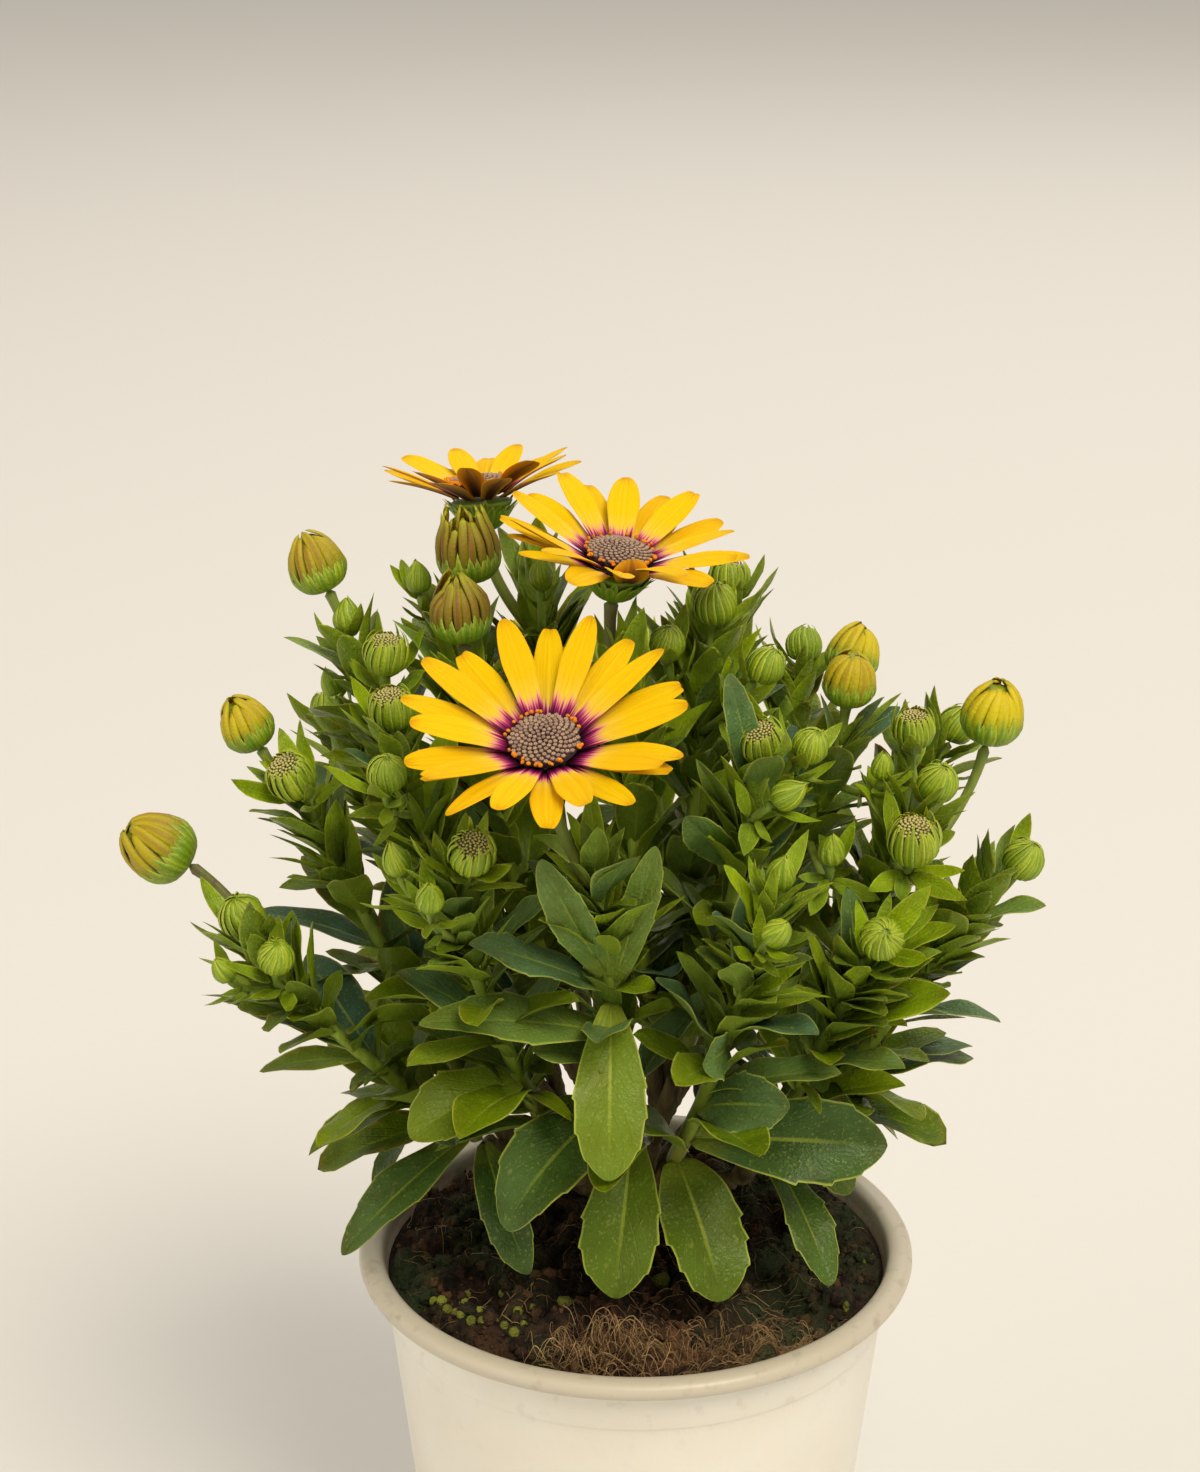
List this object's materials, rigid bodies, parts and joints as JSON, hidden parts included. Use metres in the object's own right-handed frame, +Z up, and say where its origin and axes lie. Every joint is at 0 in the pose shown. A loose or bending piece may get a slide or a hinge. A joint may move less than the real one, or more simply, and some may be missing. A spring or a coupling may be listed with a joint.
{
  "type": "potted osteospermum",
  "caption": "Bushy yellow Cape daisy in bloom, with open flowers, ripe and green buds and leafy shoots, growing in a round white nursery pot that stands on its flat base.",
  "frame": {"origin": "centre of the pot's flat underside", "axes": "+Z up along the pot's axis; -Y towards the side that the plant faces"},
  "size_m": [0.1893, 0.1551, 0.2739],
  "materials": {
    "pot_plastic": "satin moulded",
    "potting_soil": "moist, crumbly",
    "bark": "rough",
    "leaf_green": "satin with fine hairs",
    "ray_yellow": "velvety satin",
    "ray_bronze": "velvety satin",
    "disc_florets": "rough, beaded"
  },
  "bodies": {
    "root": {"pot": "pot_plastic", "soil": "potting_soil", "crown": "bark", "shoot_left_low": "leaf_green", "shoot_left_middle": "leaf_green", "shoot_left_high": "leaf_green", "shoot_left_inner": "leaf_green", "shoot_front_left": "leaf_green", "shoot_front_centre": "leaf_green", "shoot_front_right": "leaf_green", "shoot_right_front": "leaf_green", "shoot_right_outer": "leaf_green", "shoot_right_middle": "leaf_green", "shoot_right_high": "leaf_green", "shoot_centre_right": "leaf_green", "shoot_centre": "leaf_green", "shoot_upper_right": "leaf_green", "shoot_upper_left": "leaf_green", "shoot_upper_back_left": "leaf_green", "shoot_upper_back": "leaf_green", "shoot_back_left": "leaf_green", "shoot_back_left_low": "leaf_green", "shoot_back_middle": "leaf_green", "shoot_back_right": "leaf_green", "shoot_back_right_low": "leaf_green", "shoot_back_top": "leaf_green", "bloom_front_rays": "ray_yellow", "bloom_front_disc": "disc_florets", "bloom_middle_rays": "ray_yellow", "bloom_middle_disc": "disc_florets", "bloom_back_rays": "ray_yellow", "bloom_back_disc": "disc_florets", "bud_left_low_florets": "ray_yellow", "bud_left_high_florets": "ray_yellow", "bud_left_middle_florets": "ray_yellow", "bud_right_high_florets": "ray_yellow", "bud_right_middle_florets": "ray_yellow", "bud_upper_left_florets": "ray_bronze", "bud_upper_back_florets": "ray_bronze", "bud_back_right_florets": "ray_yellow", "bud_back_left_florets": "ray_yellow"}
  },
  "joints": []
}
